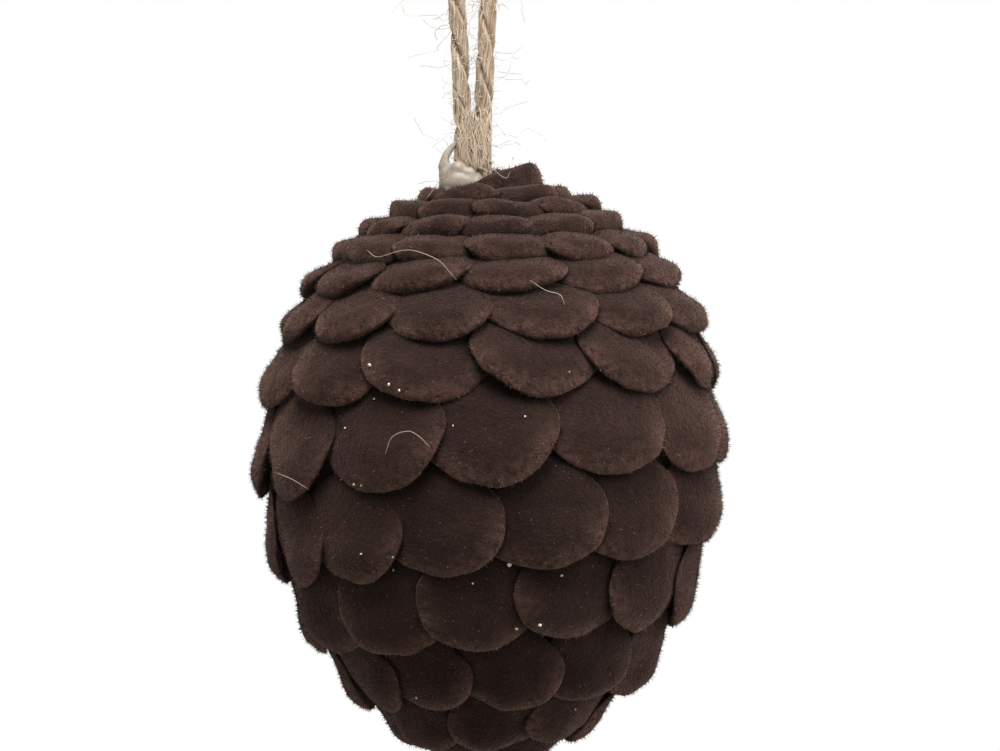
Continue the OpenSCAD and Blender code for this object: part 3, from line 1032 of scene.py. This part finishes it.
def crumb_spots():
    """The crumbs that are seen, and others scattered over the sides and the back."""
    draw = random.Random(12)
    for x, z, size in CRUMBS:
        spot, normal = seen_at(x, z)
        if spot:
            yield spot, normal, size * CRUMB_SHARE * MM, draw
    for _ in range(CRUMBS_ROUND):
        turn = math.radians(draw.uniform(*ROUND_TURNS))
        height = CONE_Z + draw.uniform(*ROUND_HEIGHTS) * MM
        start = Vector((CONE_X + DROP_FROM * math.cos(turn), DROP_FROM * math.sin(turn), height))
        spot, normal, _, _ = cone.ray_cast(start, Vector((CONE_X, 0, height)) - start)
        if spot:
            yield spot, normal, draw.uniform(*ROUND_SIZES) * MM, draw


def make_crumbs():
    """Small uneven lumps caught in the flock."""
    work = bmesh.new()
    for spot, normal, size, draw in crumb_spots():
        lump = bmesh.ops.create_icosphere(work, subdivisions=2, radius=size / 2)["verts"]
        stretch = Vector([draw.uniform(0.7, 1.25) for _ in range(3)])
        for v in lump:
            rough = 1 + 0.35 * noise.noise(v.co / size * 2.2 + spot * 900)
            v.co = Vector([a * b for a, b in zip(v.co, stretch)]) * rough + spot + normal * size * 0.55
    mesh = bpy.data.meshes.new("crumbs")
    work.to_mesh(mesh)
    work.free()
    mesh.shade_smooth()
    return new_piece("crumbs", mesh, crumb)


placed(make_crumbs(), "hot_glue")

# Jute hairs that have dropped on the scales: points across and up in mm, from the front
FALLEN = [[(-17.8, -85.7), (-16.0, -86.8), (-12.3, -85.8), (-9.7, -85.8), (-5.9, -87.3), (-4.2, -89.0),
           (-2.7, -90.7)],
          [(-14.8, -120.2), (-13.6, -117.2), (-10.9, -116.2), (-8.9, -117.2), (-7.2, -118.9)],
          [(9.6, -90.7), (12.2, -92.4), (14.7, -93.2), (15.5, -94.9)],
          [(-33.4, -123.1), (-30.5, -124.3), (-27.5, -126.1)],
          [(2.6, -71.3), (5.4, -73.5), (6.3, -72.5)],
          [(-5.5, -73.9), (-8.0, -77.2)]]
FALLEN_R = 0.065 * MM
FALLEN_SIDES = 5

# How far in front of the scales a hair lies, the points between two of its own, and over how many of
# these to either side it bridges a gap and then runs level
HAIR_LIFT = 0.55 * MM
HAIR_STEPS = 8
HAIR_SPAN = 9
HAIR_LEVEL = 4


def runs_of(values, reach):
    """For each value, those within reach of it on either side."""
    return [values[max(0, k - reach):k + reach + 1] for k in range(len(values))]


def laid_over(path):
    """A hair's points: it rests on what stands out furthest near each point and bridges the gaps."""
    line = curve_through([Vector(spot) for spot in path], lambda gap: HAIR_STEPS)
    seen = [Vector((p.x * MM, 0, p.y * MM)) for p in line]
    depth = []
    for spot in seen:
        met, _ = seen_at(spot.x / MM, spot.z / MM)
        depth.append(met.y if met else (depth[-1] if depth else 0.0))
    near = [min(depths) - HAIR_LIFT for depths in runs_of(depth, HAIR_SPAN)]
    level = [sum(depths) / len(depths) for depths in runs_of(near, HAIR_LEVEL)]
    return np.array([eye + (spot - eye) * ((y - eye.y) / -eye.y) for spot, y in zip(seen, level)])


def make_fallen_hairs():
    """Thin curved hairs lying on the flock."""
    tubes = Tubes()
    for number, path in enumerate(FALLEN):
        place = laid_over(path)
        way = np.gradient(place, axis=0)
        way /= np.linalg.norm(way, axis=1)[:, None]
        side = np.cross(way, DEPTH_WAY)
        side /= np.linalg.norm(side, axis=1)[:, None] + 1e-9
        front = np.cross(side, way)
        rounds = rounds_of(FALLEN_SIDES)[None, :, None]
        taper = FALLEN_R * (1 - 0.6 * np.linspace(-1, 1, len(place)) ** 2)
        ring = side[:, None] * np.cos(rounds) + front[:, None] * np.sin(rounds)
        tubes.add(place[:, None] + ring * taper[:, None, None], 0.15 * number, [0.0] * len(place))
    return new_piece("fallen_hairs", tubes.mesh("fallen_hairs"), fallen_hair)


placed(make_fallen_hairs(), "jute")

# The studio: a pale floor under the ornament, soft lamps and a white surround
FLOOR_Z = -0.26
FLOOR_R = 0.5
FLOOR_SIDES = 64
FLOOR_GLOW = 0.55
WHITE = (1, 1, 1, 1)

# Each lamp: where it stands, its width and its watts
LAMPS = [("key", (0.0, -0.38, 0.60), 0.45, 13.0),
         ("fill", (0.62, -0.30, 0.22), 0.50, 4.5),
         ("back", (0.10, 0.62, 0.30), 0.45, 3.5)]


def make_floor():
    """A pale disc that looks white where no shadow falls and sends little light back up."""
    mesh = bpy.data.meshes.new("floor")
    rim = [(FLOOR_R * math.cos(turn), FLOOR_R * math.sin(turn), FLOOR_Z) for turn in rounds_of(FLOOR_SIDES)]
    mesh.from_pydata(rim, [], [tuple(range(FLOOR_SIDES))])
    material = bpy.data.materials.new("pale_floor")
    material.use_nodes = True
    material.node_tree.nodes.clear()
    sheet = Sheet(material.node_tree)
    seen = sheet.node("ShaderNodeLightPath")[0]
    pale = sheet.node("ShaderNodeBsdfDiffuse", None, {"Color": (0.92, 0.92, 0.92, 1)})[0]
    glow = sheet.node("ShaderNodeEmission", None, {"Color": WHITE, "Strength": 1.0})[0]
    shown = sheet.node("ShaderNodeMixShader", None, {0: FLOOR_GLOW, 1: pale, 2: glow})[0]
    dull = sheet.node("ShaderNodeBsdfDiffuse", None, {"Color": (0.30, 0.30, 0.30, 1)})[0]
    look = sheet.node("ShaderNodeMixShader", None, {0: seen, 1: dull, 2: shown})[0]
    sheet.node("ShaderNodeOutputMaterial", None, {0: look})
    new_piece("floor", mesh, material)


def lamp(name, place, target, size, watts):
    """A square soft lamp that faces its target."""
    light = bpy.data.lights.new(name, "AREA")
    light.shape = "SQUARE"
    light.size, light.energy = size, watts
    piece = bpy.data.objects.new(name, light)
    piece.location = place
    piece.rotation_euler = (Vector(target) - Vector(place)).to_track_quat("-Z", "Y").to_euler()
    bpy.context.scene.collection.objects.link(piece)


def make_surround():
    """White where it is seen, in glints and through glue. Its light is softer from below."""
    world = bpy.data.worlds.new("surround")
    world.use_nodes = True
    world.node_tree.nodes.clear()
    sheet = Sheet(world.node_tree)
    height = sheet.node("ShaderNodeSeparateXYZ", None, {0: sheet.node("ShaderNodeTexCoord")[0]})[2]
    tint = sheet.mix(height.between(-0.5, 0.8), (0.06, 0.06, 0.065, 1), (0.60, 0.60, 0.61, 1))
    ambient = sheet.node("ShaderNodeBackground", None, {0: tint, 1: 1.0})[0]
    white = sheet.node("ShaderNodeBackground", None, {0: WHITE, 1: 1.0})[0]
    camera_ray, _, _, glossy_ray, _, _, glass_ray = sheet.node("ShaderNodeLightPath")[:7]
    seen = camera_ray + glossy_ray + glass_ray
    seen = seen.math("MINIMUM", seen, 1.0)
    look = sheet.node("ShaderNodeMixShader", None, {0: seen, 1: ambient, 2: white})[0]
    sheet.node("ShaderNodeOutputWorld", None, {0: look})
    bpy.context.scene.world = world


make_floor()
make_surround()
for name, stand, size, watts in LAMPS:
    lamp(name, stand, (CONE_X, 0, CONE_Z), size, watts)
bpy.context.scene.view_settings.view_transform = "Standard"
